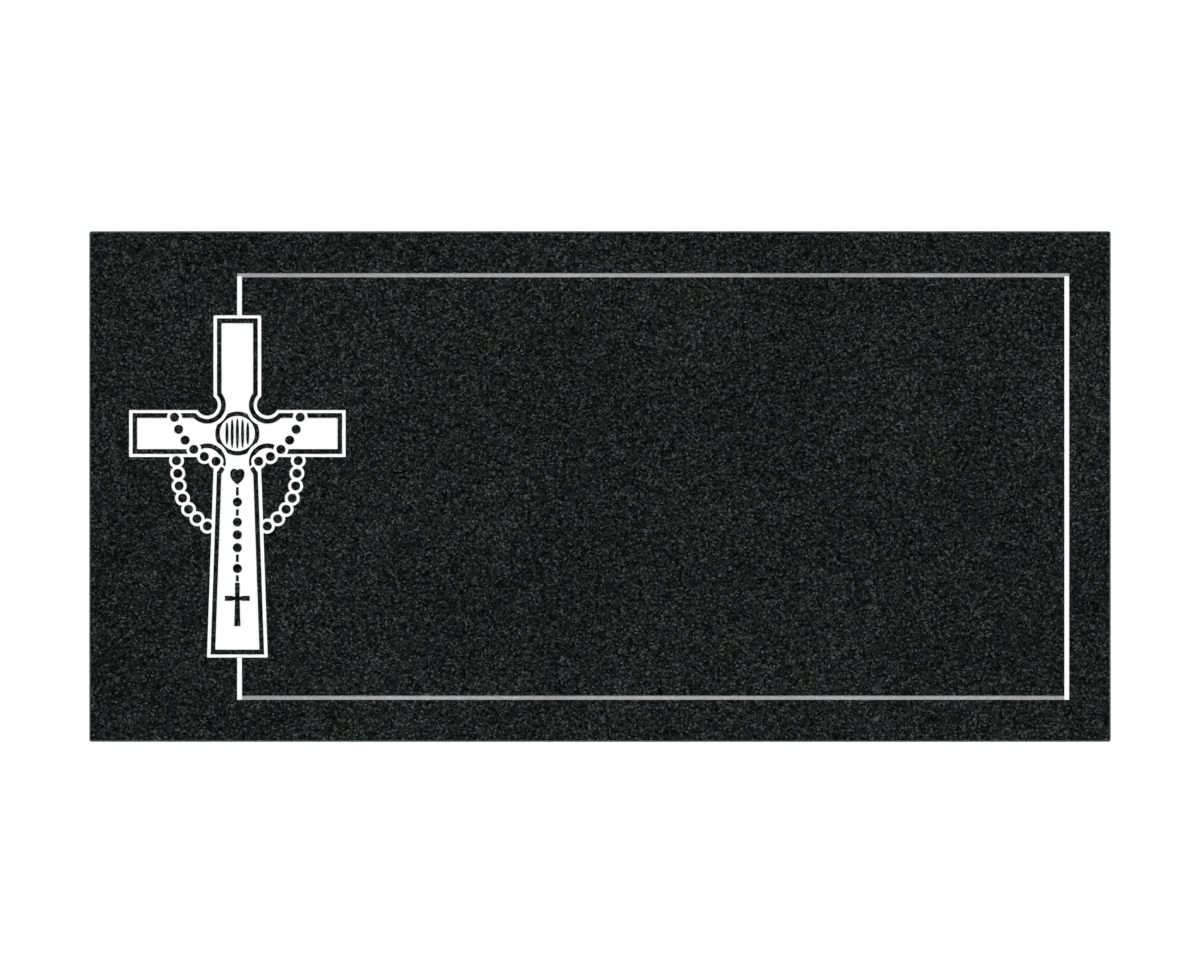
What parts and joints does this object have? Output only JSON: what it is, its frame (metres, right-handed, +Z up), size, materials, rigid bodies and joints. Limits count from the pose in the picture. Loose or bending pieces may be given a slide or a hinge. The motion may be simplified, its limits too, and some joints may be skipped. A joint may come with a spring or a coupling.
{
  "type": "flat grave marker",
  "caption": "Flat lawn-level headstone: polished black granite slab with a sandblasted cross and rosary, and a border line round a bare field.",
  "frame": {"origin": "middle of the flat underside, on the ground plane", "axes": "+X along the stone's length to the reader's right, +Y to the head of the design, +Z up out of the polished face"},
  "size_m": [0.6096, 0.3048, 0.1016],
  "materials": {
    "granite": "fine-grained black granite, face polished to a gloss, sides and underside sawn, sandblasted cross and upright border lines painted white, level border lines left as bare frosted stone"
  },
  "bodies": {
    "root": {"granite_marker": "granite"}
  },
  "joints": []
}
